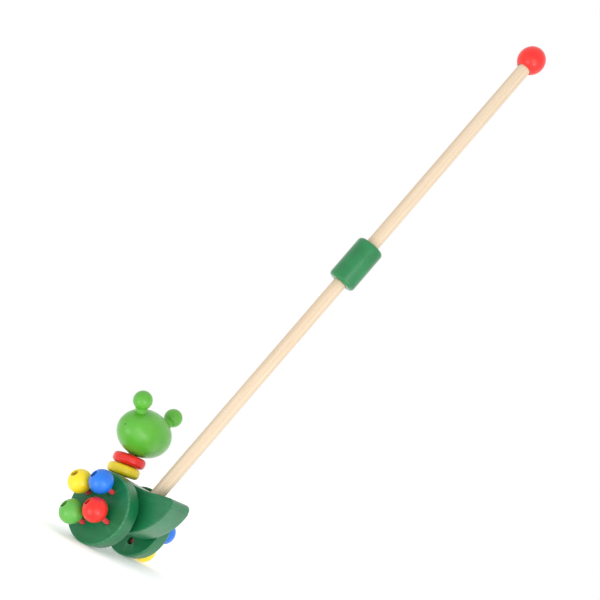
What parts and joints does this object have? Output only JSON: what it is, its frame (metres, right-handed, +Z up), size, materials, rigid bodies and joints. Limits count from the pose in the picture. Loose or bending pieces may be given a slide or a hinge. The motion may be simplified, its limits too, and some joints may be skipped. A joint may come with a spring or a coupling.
{
  "type": "push-along bug toy on a stick",
  "caption": "Wooden push-along bug: two green discs with coloured beads on elastic cords, ringed neck, round head with ball ears, and a long stick with a ball end.",
  "frame": {"origin": "the point on the floor under the middle of the axle, with both discs standing on the floor", "axes": "+Z up, the head faces -Y, the stick leans towards +Y, +X is the toy's left"},
  "size_m": [0.1132, 0.2251, 0.5477],
  "materials": {
    "dark_green_paint": "satin stain-like green paint over fine grain",
    "head_green_paint": "gloss light green paint",
    "light_green_paint": "gloss pale green paint",
    "red_paint": "gloss red paint",
    "yellow_paint": "gloss yellow paint",
    "blue_paint": "gloss blue paint",
    "plain_wood": "sanded pale wood, straight grain",
    "red_elastic": "thick round elastic"
  },
  "bodies": {
    "toy": {"body_block": "dark_green_paint", "neck_dowel": "plain_wood", "head": "head_green_paint", "ear_left": "head_green_paint", "ear_right": "head_green_paint", "stick_lower": "plain_wood", "stick_sleeve": "dark_green_paint"},
    "wheelset": {"axle": "plain_wood", "wheel_left": "dark_green_paint", "wheel_right": "dark_green_paint", "cord_left_blue": "red_elastic", "cord_left_red": "red_elastic", "cord_left_green": "red_elastic", "cord_left_yellow": "red_elastic", "cord_right_blue": "red_elastic", "cord_right_red": "red_elastic", "cord_right_green": "red_elastic", "cord_right_yellow": "red_elastic"},
    "bead_left_blue": {"bead_left_blue": "blue_paint"},
    "bead_left_red": {"bead_left_red": "red_paint"},
    "bead_left_green": {"bead_left_green": "light_green_paint"},
    "bead_left_yellow": {"bead_left_yellow": "yellow_paint"},
    "bead_right_blue": {"bead_right_blue": "blue_paint"},
    "bead_right_yellow": {"bead_right_yellow": "yellow_paint"},
    "bead_right_green": {"bead_right_green": "light_green_paint"},
    "bead_right_red": {"bead_right_red": "red_paint"},
    "neck_ring_yellow": {"neck_ring_yellow": "yellow_paint"},
    "neck_ring_red": {"neck_ring_red": "red_paint"},
    "stick_top": {"stick_upper": "plain_wood", "stick_ball": "red_paint"}
  },
  "joints": [
    {"name": "wheel_spin", "type": "hinge", "parent": "toy", "child": "wheelset", "pos_m": [0, 0, 0.03], "axis": [1, 0, 0], "continuous": true},
    {"name": "bead_left_blue_flop", "type": "hinge", "parent": "wheelset", "child": "bead_left_blue", "pos_m": [0.0358, 0.0064, 0.04553], "axis": [0, -0.9245, 0.3811], "range_deg": [-2, 12], "stiffness_Nm_per_rad": 0.03, "deforming": ["cord_left_blue"]},
    {"name": "bead_left_red_flop", "type": "hinge", "parent": "wheelset", "child": "bead_left_red", "pos_m": [0.0358, 0.01553, 0.0236], "axis": [0, 0.3811, 0.9245], "range_deg": [-2, 12], "stiffness_Nm_per_rad": 0.03, "deforming": ["cord_left_red"]},
    {"name": "bead_left_green_flop", "type": "hinge", "parent": "wheelset", "child": "bead_left_green", "pos_m": [0.0358, -0.0064, 0.01447], "axis": [0, 0.9245, -0.3811], "range_deg": [-2, 12], "stiffness_Nm_per_rad": 0.03, "deforming": ["cord_left_green"]},
    {"name": "bead_left_yellow_flop", "type": "hinge", "parent": "wheelset", "child": "bead_left_yellow", "pos_m": [0.0358, -0.01553, 0.0364], "axis": [0, -0.3811, -0.9245], "range_deg": [-2, 12], "stiffness_Nm_per_rad": 0.03, "deforming": ["cord_left_yellow"]},
    {"name": "bead_right_blue_flop", "type": "hinge", "parent": "wheelset", "child": "bead_right_blue", "pos_m": [-0.0358, 0.01586, 0.03555], "axis": [0, 0.3305, -0.9438], "range_deg": [-2, 12], "stiffness_Nm_per_rad": 0.03, "deforming": ["cord_right_blue"]},
    {"name": "bead_right_yellow_flop", "type": "hinge", "parent": "wheelset", "child": "bead_right_yellow", "pos_m": [-0.0358, 0.00555, 0.01414], "axis": [0, -0.9438, -0.3305], "range_deg": [-2, 12], "stiffness_Nm_per_rad": 0.03, "deforming": ["cord_right_yellow"]},
    {"name": "bead_right_green_flop", "type": "hinge", "parent": "wheelset", "child": "bead_right_green", "pos_m": [-0.0358, -0.01586, 0.02445], "axis": [0, -0.3305, 0.9438], "range_deg": [-2, 12], "stiffness_Nm_per_rad": 0.03, "deforming": ["cord_right_green"]},
    {"name": "bead_right_red_flop", "type": "hinge", "parent": "wheelset", "child": "bead_right_red", "pos_m": [-0.0358, -0.00555, 0.04586], "axis": [0, 0.9438, 0.3305], "range_deg": [-2, 12], "stiffness_Nm_per_rad": 0.03, "deforming": ["cord_right_red"]},
    {"name": "neck_ring_yellow_spin", "type": "hinge", "parent": "toy", "child": "neck_ring_yellow", "pos_m": [0, -0.0204, 0.0637], "axis": [0, -0.1149, 0.9934], "continuous": true},
    {"name": "neck_ring_red_spin", "type": "hinge", "parent": "toy", "child": "neck_ring_red", "pos_m": [0, -0.01986, 0.07339], "axis": [0, -0.1149, 0.9934], "continuous": true},
    {"name": "stick_pull_apart", "type": "slide", "parent": "toy", "child": "stick_top", "axis": [0, 0.3007, 0.9537], "range_m": [0, 0.02]}
  ]
}
